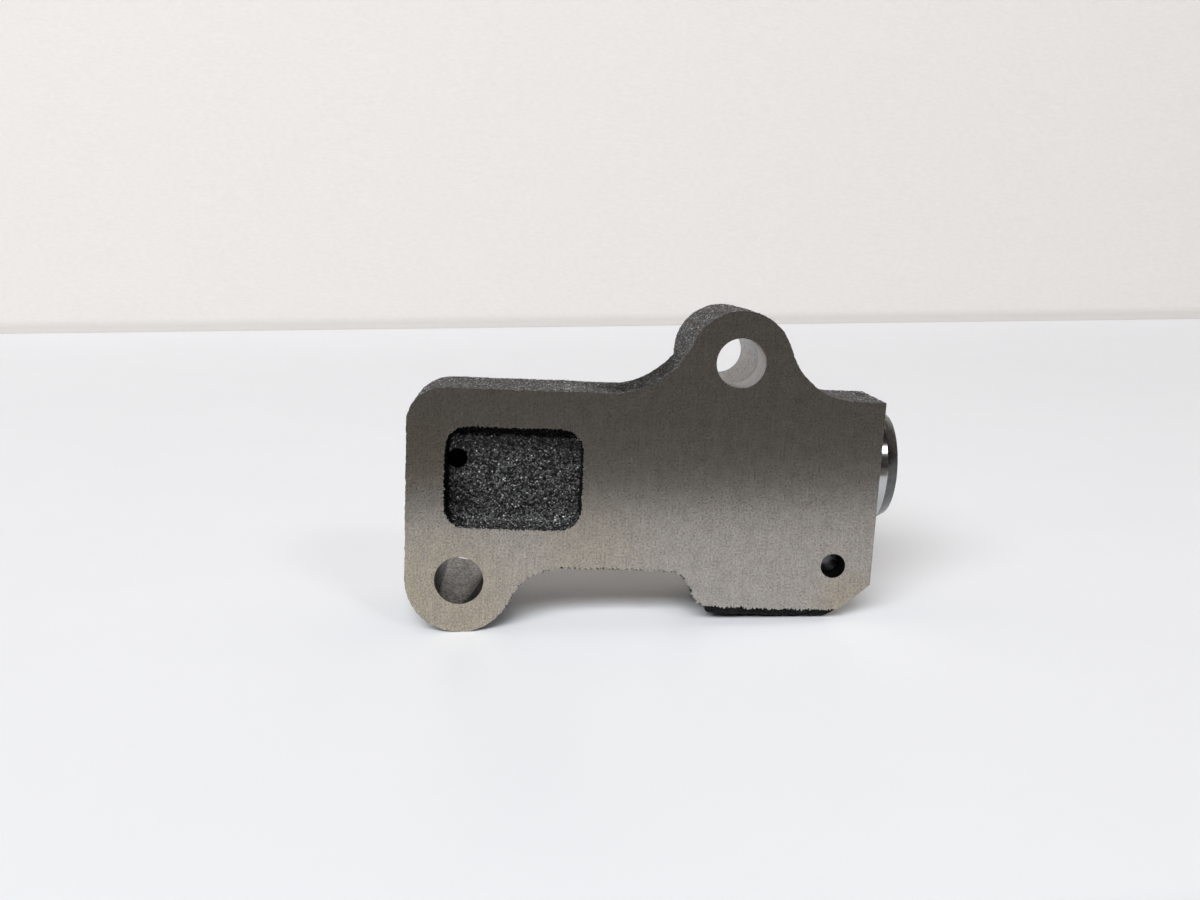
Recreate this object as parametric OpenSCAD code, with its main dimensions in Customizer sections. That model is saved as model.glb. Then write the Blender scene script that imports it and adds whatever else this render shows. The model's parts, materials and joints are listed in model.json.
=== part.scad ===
// Hydraulic timing chain tensioner with a ratchet, in millimetres.
// X runs along the plunger bore towards the nose, Y runs from the machined mounting face into
// the casting, and Z is up. The origin is the centre of the upper bolt hole on the mounting face.

/* [Bolt holes and lugs] */
// Diameter of both bolt holes
bolt_hole_d = 6.8; // [6.2:0.1:7.4]
// Distance from the upper to the lower bolt hole along the bore
bolt_span_x = 37.5; // [36:0.5:40]
// Distance from the upper down to the lower bolt hole
bolt_span_z = 31.6; // [30:0.2:33]
// Radius of the lug round the upper bolt hole
upper_lug_r = 7.1; // [6.6:0.1:7.8]
// Radius of the lug round the lower bolt hole
lower_lug_r = 7.5; // [7:0.1:8]
// Depth of the upper lug from the mounting face to its spot face
upper_lug_depth = 19; // [17:0.5:20]
// Depth of the lower lug from the mounting face to its spot face
lower_lug_depth = 22; // [20:0.5:23]
// Diameter of the spot face on the back of each lug, for the bolt's head
spot_face_d = 12.6; // [11:0.1:12.8]
// Depth of the spot face below the cast back of the lug
spot_depth = 0.3; // [0.2:0.05:0.5]

/* [Casting] */
// Distance from the upper bolt hole to the machined end round the plunger
end_from_bolt = 20.5; // [19.5:0.1:22]
// Distance from the upper bolt hole down to the top edge of the casting
top_below_bolt = 4.7; // [4:0.1:5.5]
// Wall of the round barrel outside the plunger bore
barrel_wall = 2.2; // [1.8:0.1:3]
// Lip of the mounting flange below the barrel
flange_lip = 3.55; // [2.5:0.05:4.5]
// Radius of the casting's closed corner
corner_r = 5; // [3:0.5:6]
// Fillet from the flange's long top edge into the upper lug
lug_fillet_long = 12; // [9:0.5:14]
// Fillet from the flange's short top edge into the upper lug
lug_fillet_short = 10; // [8:0.5:10.5]
// Fillet from the arch into the lower lug
arch_fillet = 8; // [6:0.5:10]
// Casting draft taken off the lugs and the foot behind the flange
draft = 0.15; // [0.1:0.05:0.3]

/* [Foot] */
// Depth of the foot behind the mounting face
foot_depth = 19.4; // [18:0.2:20.4]
// Distance from the ratchet pin down to the underside of the foot at the mounting face
foot_below_pin = 6.86; // [6.6:0.02:8]
// How much lower the foot's drafted underside lies at its back
foot_drop = 1.25; // [0.8:0.05:1.6]
// Slope of the foot's flank towards the arch, in degrees
foot_slope = 63; // [55:1:75]
// Length of the foot's underside from its flank to the machined end
foot_len = 24.1; // [23.4:0.1:26]
// Rounding of the foot's lower corner
foot_corner_r = 2.5; // [1.5:0.5:3]
// Fillet from the foot's flank into the arch
foot_fillet = 3.5; // [2:0.5:5]
// Length along the bore of the bevel at the foot's outer corner
bevel_x = 4.8; // [3:0.1:5.2]
// Height of the bevel at the foot's outer corner
bevel_z = 4.2; // [3:0.1:4.6]

/* [Oil ways] */
// Length of the cast oil pocket in the mounting face
pocket_w = 18.9; // [16:0.1:20]
// Height of the oil pocket
pocket_h = 14.25; // [12:0.05:15]
// Depth of the oil pocket
pocket_depth = 5; // [3.5:0.5:6]
// Corner radius of the oil pocket
pocket_corner_r = 3; // [2:0.5:4]
// Distance of the pocket's centre below the bore axis
pocket_drop = 1.75; // [1:0.05:2.5]
// Wall between the pocket and the closed end of the bore
pocket_wall = 1.4; // [1:0.1:2]
// Diameter of the oil hole in the pocket's floor
oil_hole_d = 2.8; // [2:0.1:3.2]
// Distance of the oil hole from the pocket's far side wall
oil_inset = 1.5; // [1.45:0.05:3]
// Diameter of the feed drilled on the bore axis from the oil hole to the valve
feed_d = 2.4; // [1.8:0.1:2.6]

/* [Plunger] */
// Outside diameter of the plunger
plunger_d = 16.8; // [16:0.1:17.4]
// Gap all round between the plunger and its bore
plunger_fit = 0.03; // [0.02:0.01:0.06]
// Depth of the plunger bore from the machined end
bore_depth = 40; // [38:0.5:42]
// Chamfer at the mouth of the plunger bore
bore_chamfer = 0.4; // [0.2:0.1:0.8]
// How far the plunger stands out when it is pushed home
plunger_out = 3.6; // [2.6:0.1:5]
// Stroke of the plunger
stroke = 15; // [12:0.6:15.6]
// Length of the nose chamfer along the plunger
nose_chamfer_l = 1.75; // [0.5:0.05:2]
// Depth of the nose chamfer across the plunger
nose_chamfer_r = 1; // [0.3:0.1:1.5]
// Diameter of the hollow that holds the plunger spring
hollow_d = 10.4; // [10.2:0.1:10.8]
// Thickness of the closed nose
nose_wall = 6; // [4:0.5:8]
// Diameter of the air vent through the nose
vent_d = 1.2; // [0.8:0.1:1.6]
// Thickness of the disc that meters the vent
vent_disc_t = 1.2; // [0.8:0.1:2]

/* [Ratchet] */
// Notches that the plunger passes over its stroke
notches = 6; // [5:1:6]
// Depth of the flat that the rack is cut into
rack_flat = 0.5; // [0.4:0.05:0.6]
// Height of the rack teeth
tooth_h = 0.8; // [0.6:0.05:0.9]
// Length of the rack teeth's climbing flank along the plunger
climb_run = 0.6; // [0.4:0.05:0.7]
// Width of the floor of each rack notch
root_flat = 0.3; // [0.2:0.05:0.35]
// Drop from the rack to the pawl's tooth when they are in mesh
mesh_gap = 0.12; // [0.1:0.01:0.16]
// Diameter of the pin that the pawl turns on
pin_d = 3.5; // [3:0.1:3.6]
// Gap all round between the pin and the pawl
pin_fit = 0.04; // [0.02:0.01:0.08]
// Distance from the machined end to the pin
pin_from_end = 5.55; // [5.4:0.05:5.8]
// Distance from the underside of the bore down to the pin
pin_below_bore = 4.43; // [4.3:0.01:5]
// Depth of the pin's end below the mounting face
pin_recess = 3; // [1:0.5:4]
// Depth of the pin's other end below the back of the foot
pin_back_recess = 1.4; // [0.5:0.1:3]
// Width of the pawl's slot
slot_w = 6.2; // [5:0.1:6.6]
// Gap on each side between the pawl and its slot
slot_fit = 0.1; // [0.05:0.05:0.2]
// Radius of the pawl's hub
hub_r = 3; // [2.7:0.05:3.1]
// Distance from the pin to the end of the pawl's spring arm
spring_arm = 12.8; // [12:0.1:13.2]
// Thickness of the pawl's spring arm
arm_t = 2.4; // [2:0.1:3]

/* [Check valve] */
// Thickness of the valve seat
seat_t = 2.5; // [2.2:0.1:3.5]
// Gap all round between the valve seat and the bore
seat_fit = 0.04; // [0.02:0.01:0.1]
// Diameter of the hole in the valve seat
seat_hole_d = 2.4; // [1.6:0.1:2.6]
// Diameter of the seat's cone at its wide end
seat_cone_d = 5.2; // [4.6:0.1:5.6]
// Diameter of the check ball
ball_d = 4; // [3.8:0.1:4.2]
// Gap between the check ball and the seat's cone
ball_gap = 0.02; // [0.01:0.01:0.05]
// Lift of the check ball
ball_lift = 0.8; // [0.4:0.1:0.9]
// Outside diameter of the cage's flange
cage_flange_d = 12.4; // [11:0.1:13.4]
// Thickness of the cage's sheet metal
cage_t = 0.7; // [0.5:0.05:0.8]
// Gap all round between the ball and the cage
cage_gap = 0.4; // [0.2:0.05:0.5]
// Width of each window in the cage's side
cage_window = 1.8; // [1:0.1:2.2]

/* [Springs] */
// Wire diameter of the plunger spring
plunger_wire = 1; // [0.8:0.05:1.1]
// Turns of the plunger spring
plunger_turns = 12; // [9:1:14]
// Wire diameter of the pawl spring
pawl_wire = 0.5; // [0.4:0.05:0.55]
// Turns of the pawl spring
pawl_turns = 5; // [4:1:5]
// Outside diameter of the pawl spring
pawl_spring_d = 4; // [3.4:0.1:4.4]
// Length of the pawl spring as fitted
pawl_spring_len = 6; // [5.6:0.1:6.4]
// Wire diameter of the valve spring
valve_wire = 0.3; // [0.2:0.05:0.3]
// Turns of the valve spring
valve_turns = 4; // [3:1:5]
// Gap left between a spring's end coil and its seat
spring_gap = 0.03; // [0.02:0.01:0.06]

/* [Hidden] */
$fn = 64;
// Cutting tools run past the metal by this much, and welded shapes share this much
past = 1;
// Step between the points of a drawn arc, in degrees
arc_step = 4;

// Places along the bore
end_x = end_from_bolt;
floor_x = end_x - bore_depth;
body_left = -bolt_span_x - lower_lug_r;
nose_x = end_x + plunger_out;
seat_x = floor_x + seat_t;
cage_x = seat_x + cage_t;
// The plunger's rear end stops short of the cage when it is pushed home
rear_gap = 0.6;
rear_x = cage_x + rear_gap;
hollow_x = nose_x - nose_wall;

// The barrel stands a little proud of the flange's top edge and clears the mounting face
barrel_proud = 0.05;
barrel_skin = 0.15;
plunger_r = plunger_d / 2;
bore_r = plunger_r + plunger_fit;
barrel_r = bore_r + barrel_wall;
top_z = -top_below_bolt;
axis_z = top_z + barrel_proud - barrel_r;
axis_y = barrel_r + barrel_skin;
arch_z = axis_z - barrel_r - flange_lip;
// The web between the lower lug and the barrel stops short of the barrel's back
web_depth = axis_y + barrel_r * 0.6;

// Ratchet pin, foot and slot
pin_x = end_x - pin_from_end;
pin_z = axis_z - bore_r - pin_below_bore;
foot_z = pin_z - foot_below_pin;
foot_left = end_x - foot_len;
hub_gap = 0.24;
ceiling_z = pin_z + hub_r + hub_gap;
arm_gap = 1.2;
slot_left = pin_x - spring_arm - arm_gap;

// Rack and the pawl's tooth, which leaves the rack along its blocking flank as the pawl turns
pitch = stroke / notches;
flat_z = axis_z - plunger_r + rack_flat;
root_z = flat_z + tooth_h;
tooth_ahead = 3.95;
notch_x = pin_x + tooth_ahead;
flank_ease = 2;
block_slope = atan2(tooth_ahead + root_flat / 2, root_z - mesh_gap - pin_z) - flank_ease;
block_run = tooth_h / tan(block_slope);
tooth_arm_gap = 0.25;
tooth_arm_z = flat_z - tooth_arm_gap;
tooth_shoulder = 0.5;
tooth_arm_left = notch_x - root_flat / 2 - climb_run - tooth_shoulder;
tooth_arm_right = notch_x + root_flat / 2 + block_run + 0.1;
tooth_arm_t = 2.2;
window_gap = 0.3;
rack_end_margin = 0.6;
rack_left = tooth_arm_left - window_gap - stroke - rack_end_margin;
rack_right = end_x + 0.4;

// Pawl spring between a counterbore in the slot's ceiling and the pawl's spring arm
spring_seat_depth = 0.5;
spring_seat_gap = 0.2;
pawl_spring_x = pin_x - spring_arm + pawl_spring_d / 2 + 0.4;
spring_top_z = ceiling_z + spring_seat_depth;
arm_z = spring_top_z - pawl_spring_len;

// Check valve
ball_r = ball_d / 2;
ball_x = seat_x - seat_cone_d / 2 + (ball_r + ball_gap) * sqrt(2);
cage_in_r = ball_r + cage_gap;
cage_out_r = cage_in_r + cage_t;
spring_room = 1.1;
cage_end_x = ball_x + ball_r + ball_lift + spring_room + cage_t;
cage_hole_r = 0.8;
valve_spring_r = 1.25;
ball_spring_x = ball_x + sqrt(ball_r * ball_r - valve_spring_r * valve_spring_r) + valve_wire / 2;

// Plunger spring between the cage's flange and the vent disc
coil_gap = 0.3;
plunger_spring_r = hollow_d / 2 - coil_gap - plunger_wire / 2;
vent_disc_x = hollow_x - vent_disc_t;
vent_disc_fit = 0.05;

// Oil pocket
pocket_right = floor_x - pocket_wall;
pocket_left = pocket_right - pocket_w;
pocket_z = axis_z - pocket_drop;
oil_x = pocket_left + oil_inset;

// Points along an arc of radius r about c, from angle a0 to a1
function arc(c, r, a0, a1) =
    let (n = max(2, ceil(abs(a1 - a0) / arc_step)))
    [for (i = [0:n]) let (a = a0 + (a1 - a0) * i / n) [c.x + r * cos(a), c.y + r * sin(a)]];

// Sideways distance between the centres of two arcs that touch, one raised over the other
function reach(sum_r, rise) = sqrt(sum_r * sum_r - rise * rise);

// Outline of the mounting face in X and Z, anticlockwise from the lower lug
function face_outline() =
    let (lower = [-bolt_span_x, -bolt_span_z],
         arch_c = [lower.x + reach(lower_lug_r + arch_fillet, lower.y - arch_z + arch_fillet),
                   arch_z - arch_fillet],
         arch_a = atan2(arch_c.y - lower.y, arch_c.x - lower.x),
         foot_turn = tan(foot_slope / 2),
         flank_top = foot_left - (arch_z - foot_z) / tan(foot_slope),
         fillet_c = [flank_top - foot_fillet * foot_turn, arch_z - foot_fillet],
         corner_c = [foot_left + foot_corner_r * foot_turn, foot_z + foot_corner_r],
         short_c = [reach(upper_lug_r + lug_fillet_short, top_z + lug_fillet_short),
                    top_z + lug_fillet_short],
         short_a = atan2(short_c.y, short_c.x),
         long_c = [-reach(upper_lug_r + lug_fillet_long, top_z + lug_fillet_long),
                   top_z + lug_fillet_long],
         long_a = atan2(long_c.y, long_c.x))
    concat(arc(lower, lower_lug_r, 180, 360 + arch_a),
           arc(arch_c, arch_fillet, 180 + arch_a, 90),
           arc(fillet_c, foot_fillet, 90, 90 - foot_slope),
           arc(corner_c, foot_corner_r, 270 - foot_slope, 270),
           [[end_x + past, foot_z], [end_x + past, top_z]],
           arc(short_c, lug_fillet_short, 270, 180 + short_a),
           arc([0, 0], upper_lug_r, short_a, long_a),
           arc(long_c, lug_fillet_long, long_a + 180, 270),
           arc([body_left + corner_r, top_z - corner_r], corner_r, 90, 180));

// Rear boss of the upper lug, with straight flanks that flare into the barrel
function upper_boss_outline() =
    let (r = upper_lug_r - draft,
         flare_r = 4,
         flare_z = top_z - flare_r / 2)
    concat(arc([0, 0], r, 0, 180),
           arc([-r - flare_r, flare_z], flare_r, 0, -90),
           [[-r - flare_r, axis_z], [r + flare_r, axis_z]],
           arc([r + flare_r, flare_z], flare_r, 270, 180));

// Web from the lower lug up into the barrel, a little narrower than the lug's round boss, with
// straight flanks and a sloping shoulder
function lower_web_outline() =
    let (r = lower_lug_r - 2 * draft,
         shoulder_z = axis_z - barrel_r / 2)
    concat(arc([-bolt_span_x, -bolt_span_z], r, 180, 360),
           [[-bolt_span_x + r, shoulder_z], [body_left + corner_r, shoulder_z],
            [-bolt_span_x - r, axis_z - barrel_r]]);

// Foot behind the flange, up into the barrel
function foot_outline() =
    let (left = foot_left + draft,
         low = foot_z + draft,
         turn = tan(foot_slope / 2),
         corner_c = [left + foot_corner_r * turn, low + foot_corner_r],
         rise = axis_z - low)
    concat(arc(corner_c, foot_corner_r, 270 - foot_slope, 270),
           [[end_x + past, low], [end_x + past, axis_z], [left - rise / tan(foot_slope), axis_z]]);

// Rectangle with round corners, centred
function round_rect(w, h, r) =
    concat(arc([w / 2 - r, h / 2 - r], r, 0, 90), arc([r - w / 2, h / 2 - r], r, 90, 180),
           arc([r - w / 2, r - h / 2], r, 180, 270), arc([w / 2 - r, r - h / 2], r, 270, 360));

// Extrudes an outline drawn in X and Z from depth y0 to depth y1
module slab(y0, y1, points) {
    translate([0, y1, 0]) rotate([90, 0, 0]) linear_extrude(y1 - y0) polygon(points);
}

// Round bar or drill along the bore axis from x0 to x1
module axial(x0, x1, r) {
    translate([x0, axis_y, axis_z]) rotate([0, 90, 0]) cylinder(h = x1 - x0, r = r);
}

// Round bar or drill along Y from y0 to y1
module cross(x, z, y0, y1, r) {
    translate([x, y0, z]) rotate([-90, 0, 0]) cylinder(h = y1 - y0, r = r);
}

// Solid of revolution about the bore axis: profile points are [radius, distance past x0]
module turned(x0, profile) {
    translate([x0, axis_y, axis_z]) rotate([0, 90, 0]) rotate_extrude() polygon(profile);
}

// Coil spring along +Z from the origin, with a closed coil at each end
module coil_spring(mid_r, wire, length, turns) {
    sides = 8;
    steps = 16;
    n = turns * steps;
    closed = wire * 1.05;
    open = (length - wire - 2 * closed) / (turns - 2);
    lift = function(t) wire / 2 + closed * min(t, 1) + open * max(0, min(t - 1, turns - 2))
                       + closed * max(0, t - turns + 1);
    rings = [for (i = [0:n]) let (t = i / steps, a = 360 * t)
             [for (k = [0:sides - 1]) let (b = 360 * k / sides, r = mid_r + wire / 2 * cos(b))
              [r * cos(a), r * sin(a), lift(t) + wire / 2 * sin(b)]]];
    points = [for (ring = rings) each ring];
    walls = [for (i = [0:n - 1], k = [0:sides - 1])
             let (k1 = (k + 1) % sides, p = i * sides, q = p + sides)
             [p + k, q + k, q + k1, p + k1]];
    caps = [[for (k = [0:sides - 1]) k], [for (k = [sides - 1:-1:0]) n * sides + k]];
    polyhedron(points, concat(walls, caps), convexity = turns * 2);
}

// One notch of the rack, cut from the flat up to its floor
function notch_outline(x, drop, below) =
    let (half = root_flat / 2)
    [[x - half - climb_run, flat_z - drop - below], [x - half - climb_run, flat_z - drop],
     [x - half, root_z - drop], [x + half, root_z - drop],
     [x + half + block_run, flat_z - drop], [x + half + block_run, flat_z - drop - below]];

// Casting as poured: flange, barrel with a round closed end, two bolt lugs and the foot
module casting() {
    slab(0, axis_y, face_outline());
    turned(body_left + barrel_skin,
           concat([[0, 0]], arc([barrel_r - corner_r, corner_r], corner_r, -90, 0),
                  [[barrel_r, end_x - body_left + past], [0, end_x - body_left + past]]));
    slab(axis_y - past, upper_lug_depth + spot_depth, upper_boss_outline());
    slab(axis_y - past, web_depth, lower_web_outline());
    cross(-bolt_span_x, -bolt_span_z, axis_y - past, lower_lug_depth + spot_depth, lower_lug_r - draft);
    slab(axis_y - past, foot_depth, foot_outline());
    // Draft under the foot, from just behind the mounting face down to its back
    start = 2;
    back = foot_depth - draft;
    heel_left = foot_left + foot_corner_r;
    translate([heel_left, 0, foot_z]) rotate([90, 0, 90]) linear_extrude(end_x - heel_left + past)
        polygon([[start, -foot_drop * start / back], [back, -foot_drop], [back, past], [start, past]]);
}

module housing() {
    side = barrel_r * 3;
    color("dimgray") difference() {
        casting();
        // Machined end and the bevel below it
        translate([end_x, -past, foot_z - bevel_z])
            cube([past * 2, side, top_z - foot_z + bevel_z + past]);
        slab(-past, side, [[end_x - bevel_x * 1.5, foot_z - bevel_z / 2], [end_x, foot_z + bevel_z],
                           [end_x + past, foot_z + bevel_z], [end_x + past, foot_z - bevel_z / 2]]);
        // Bolt holes and the spot faces behind them
        cross(0, 0, -past, side, bolt_hole_d / 2);
        cross(0, 0, upper_lug_depth, side, spot_face_d / 2);
        cross(-bolt_span_x, -bolt_span_z, -past, side, bolt_hole_d / 2);
        cross(-bolt_span_x, -bolt_span_z, lower_lug_depth, side, spot_face_d / 2);
        // Oil pocket, its oil hole and the feed to the valve
        translate([pocket_left + pocket_w / 2, 0, pocket_z])
            slab(-past, pocket_depth, round_rect(pocket_w, pocket_h, pocket_corner_r));
        cross(oil_x, axis_z, pocket_depth - past, axis_y, oil_hole_d / 2);
        axial(oil_x, floor_x + past, feed_d / 2);
        // Plunger bore, with the chamfer at its mouth
        turned(floor_x, [[0, 0], [bore_r, 0], [bore_r, bore_depth - bore_chamfer],
                         [bore_r + bore_chamfer + past, bore_depth + past], [0, bore_depth + past]]);
        // Pawl slot, its window into the bore, the pin hole and the spring's counterbore
        slot_low = foot_z - foot_drop - past;
        translate([slot_left, axis_y - slot_w / 2, slot_low])
            cube([end_x - slot_left + past, slot_w, ceiling_z - slot_low]);
        translate([tooth_arm_left - window_gap, axis_y - slot_w / 2, ceiling_z - past])
            cube([end_x - tooth_arm_left + window_gap + past, slot_w, axis_z - ceiling_z + past]);
        cross(pin_x, pin_z, -past, side, pin_d / 2);
        translate([pawl_spring_x, axis_y, ceiling_z - past])
            cylinder(h = spring_seat_depth + past, r = pawl_spring_d / 2 + spring_seat_gap);
    }
}

module plunger() {
    len = nose_x - rear_x;
    rear_chamfer = 0.5;
    color("silver") difference() {
        turned(rear_x, [[hollow_d / 2, 0], [plunger_r - rear_chamfer, 0], [plunger_r, rear_chamfer],
                        [plunger_r, len - nose_chamfer_l], [plunger_r - nose_chamfer_r, len],
                        [vent_d / 2, len], [vent_d / 2, hollow_x - rear_x],
                        [hollow_d / 2, hollow_x - rear_x]]);
        // Flat for the rack, then its notches
        translate([rack_left, axis_y - plunger_r, flat_z - plunger_r])
            cube([rack_right - rack_left, plunger_d, plunger_r]);
        for (i = [0:notches])
            slab(axis_y - plunger_r, axis_y + plunger_r, notch_outline(notch_x - i * pitch, 0, past));
    }
}

module vent_disc() {
    color("gray") turned(vent_disc_x, [[vent_d / 2, 0], [hollow_d / 2 - vent_disc_fit, 0],
                                       [hollow_d / 2 - vent_disc_fit, vent_disc_t],
                                       [vent_d / 2, vent_disc_t]]);
}

module plunger_spring() {
    color("slategray") translate([cage_x + spring_gap, axis_y, axis_z]) rotate([0, 90, 0])
        coil_spring(plunger_spring_r, plunger_wire, vent_disc_x - cage_x - 2 * spring_gap, plunger_turns);
}

module valve_seat() {
    cone_depth = (seat_cone_d - seat_hole_d) / 2;
    color("darkgray") turned(floor_x, [[seat_hole_d / 2, 0], [bore_r - seat_fit, 0],
                                       [bore_r - seat_fit, seat_t], [seat_cone_d / 2, seat_t],
                                       [seat_hole_d / 2, seat_t - cone_depth]]);
}

module valve_ball() {
    color("lightgray") translate([ball_x, axis_y, axis_z]) sphere(r = ball_r);
}

module valve_spring() {
    color("slategray") translate([ball_spring_x + spring_gap, axis_y, axis_z]) rotate([0, 90, 0])
        coil_spring(valve_spring_r, valve_wire,
                    cage_end_x - cage_t - ball_spring_x - 2 * spring_gap, valve_turns);
}

module valve_cage() {
    cup = cage_end_x - seat_x;
    color("goldenrod") difference() {
        turned(seat_x, [[cage_in_r, 0], [cage_flange_d / 2, 0], [cage_flange_d / 2, cage_t],
                        [cage_out_r, cage_t], [cage_out_r, cup], [cage_hole_r, cup],
                        [cage_hole_r, cup - cage_t], [cage_in_r, cup - cage_t]]);
        for (a = [0, 120, 240])
            translate([cage_x + cage_t / 2, axis_y, axis_z]) rotate([a, 0, 0])
                translate([0, 0, -cage_window / 2])
                    cube([cup - 2.5 * cage_t, cage_out_r + past, cage_window]);
    }
}

module ratchet_pawl() {
    y0 = axis_y - slot_w / 2 + slot_fit;
    y1 = axis_y + slot_w / 2 - slot_fit;
    arm_end = pin_x - spring_arm;
    seat_end = pawl_spring_x + pawl_spring_d / 2 + spring_seat_gap;
    color("darkslategray") difference() {
        union() {
            cross(pin_x, pin_z, y0, y1, hub_r);
            // Short arm up to the rack, and its tooth
            slab(y0, y1, [[tooth_arm_left, tooth_arm_z], [tooth_arm_left, pin_z + hub_r * 0.6],
                          [pin_x, pin_z], [pin_x + hub_r * 0.7, pin_z - hub_r * 0.6],
                          [tooth_arm_right, tooth_arm_z - tooth_arm_t],
                          [tooth_arm_right, tooth_arm_z]]);
            slab(y0, y1, notch_outline(notch_x, mesh_gap, tooth_arm_gap + mesh_gap));
            // Long arm under the spring
            slab(y0, y1, [[pin_x, pin_z + hub_r * 0.7], [seat_end, arm_z], [arm_end, arm_z],
                          [arm_end, arm_z - arm_t], [seat_end, arm_z - arm_t],
                          [pin_x, pin_z - hub_r * 0.9]]);
        }
        cross(pin_x, pin_z, y0 - past, y1 + past, pin_d / 2 + pin_fit);
    }
}

module pawl_pin() {
    color("lightslategray")
        cross(pin_x, pin_z, pin_recess, foot_depth - pin_back_recess, pin_d / 2);
}

module pawl_spring() {
    color("slategray") translate([pawl_spring_x, axis_y, arm_z + spring_gap])
        coil_spring(pawl_spring_d / 2 - pawl_wire / 2, pawl_wire,
                    pawl_spring_len - 2 * spring_gap, pawl_turns);
}

housing();
plunger();
vent_disc();
plunger_spring();
valve_seat();
valve_ball();
valve_spring();
valve_cage();
ratchet_pawl();
pawl_pin();
pawl_spring();
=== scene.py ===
import json
import math

import bmesh
import bpy
from mathutils import Matrix, Vector, noise


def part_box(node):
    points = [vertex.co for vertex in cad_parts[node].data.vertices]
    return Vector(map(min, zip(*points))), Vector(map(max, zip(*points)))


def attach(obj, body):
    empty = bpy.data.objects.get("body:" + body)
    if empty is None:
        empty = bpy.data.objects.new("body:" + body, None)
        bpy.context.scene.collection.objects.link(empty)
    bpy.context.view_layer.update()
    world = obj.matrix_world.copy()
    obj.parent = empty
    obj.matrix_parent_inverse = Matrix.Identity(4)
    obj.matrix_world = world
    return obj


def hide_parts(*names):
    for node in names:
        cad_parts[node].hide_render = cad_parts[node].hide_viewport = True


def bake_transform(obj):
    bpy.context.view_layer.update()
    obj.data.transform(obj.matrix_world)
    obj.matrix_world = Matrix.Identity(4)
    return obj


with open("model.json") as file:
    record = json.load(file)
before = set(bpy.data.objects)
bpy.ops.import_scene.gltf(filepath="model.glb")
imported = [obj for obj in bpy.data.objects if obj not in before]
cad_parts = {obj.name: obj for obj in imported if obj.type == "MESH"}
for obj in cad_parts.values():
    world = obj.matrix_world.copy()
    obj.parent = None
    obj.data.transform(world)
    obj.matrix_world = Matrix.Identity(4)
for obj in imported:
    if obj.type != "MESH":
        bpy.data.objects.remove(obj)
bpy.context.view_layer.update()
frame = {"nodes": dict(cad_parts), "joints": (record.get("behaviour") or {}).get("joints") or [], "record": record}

# Housing: one grey-iron sand casting. It is poured with stock on its faces, then ground on the
# mounting face and the plunger end, drilled for its bolts, bored for the plunger and slotted.
mm = 0.001
weld = 0.002 * mm
skin_grain, skin_rounding = 0.3 * mm, 14
# The skin's noises: scales are per mm, depths are in mm
wave_scale, wave_depth = 0.3, 0.06
lump_scale, lump_depth = 1.2, 0.06
grain_scale, grain_depth, grain_shift = 2.9, 0.11, Vector((9, 4, 7))
ragged_band, chip_scale, pocket_chip, foot_chip = 1.0 * mm, 4.3, 0.24, 0.4
stock = 2 * mm
tool_past, mill_reach = 4 * mm, 1.0
plug_grow = 0.5 * mm
mounts = {mount["name"]: mount for mount in frame["record"]["mounts"]}
bolt_holes = [mounts[name] for name in ("upper_bolt_hole", "lower_bolt_hole")]
bolt_r = bolt_holes[0]["dims"]["r_mm"] * mm
spot_r, spot_depth = 6.3 * mm, 0.3 * mm
bore_chamfer = 0.4 * mm
coil_seat_r, coil_play = 2.2 * mm, 0.03 * mm
end_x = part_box("housing")[1].x
plunger_low, plunger_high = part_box("plunger")
plunger_r = (plunger_high.y - plunger_low.y) / 2
bore_axis = (plunger_low + plunger_high) / 2
bore_play = 0.03 * mm
bore_r = plunger_r + bore_play
bore_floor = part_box("valve_seat")[0].x
pin_low, pin_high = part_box("pawl_pin")
pin_axis = (pin_low + pin_high) / 2
pin_r = (pin_high.x - pin_low.x) / 2
pawl_low, pawl_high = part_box("ratchet_pawl")
pin_over_foot, foot_behind_pin = 6.86 * mm, 1.4 * mm
foot_z = pin_axis.z - pin_over_foot
foot_depth = pin_high.y + foot_behind_pin
foot_drop, foot_lift = 1.25 * mm, 0.4 * mm
foot_left, heel_front, heel_right = -2.6 * mm, 0.3 * mm, end_x - 4.0 * mm
bevel_x, bevel_z = 4.8 * mm, 4.2 * mm
slot_play, slot_room = 0.1 * mm, 1.2 * mm
slot_half = (pawl_high.y - pawl_low.y) / 2 + slot_play
slot_left = pawl_low.x - slot_room
ceiling_over_pin, window_past_pin = 3.24 * mm, 2.35 * mm
slot_ceiling = pin_axis.z + ceiling_over_pin
window_left = pin_axis.x + window_past_pin
oil_place = Vector((-38.3 * mm, 5 * mm, bore_axis.z))
oil_r, feed_r = 1.4 * mm, 1.2 * mm
chip_left, chip_top = -31.0 * mm, -28.5 * mm
pocket_left, pocket_right = -41.0 * mm, -19.8 * mm
pocket_low, pocket_high = -25.3 * mm, -8.8 * mm
pocket_floor, pocket_roof = 4.8 * mm, -11.5 * mm


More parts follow.
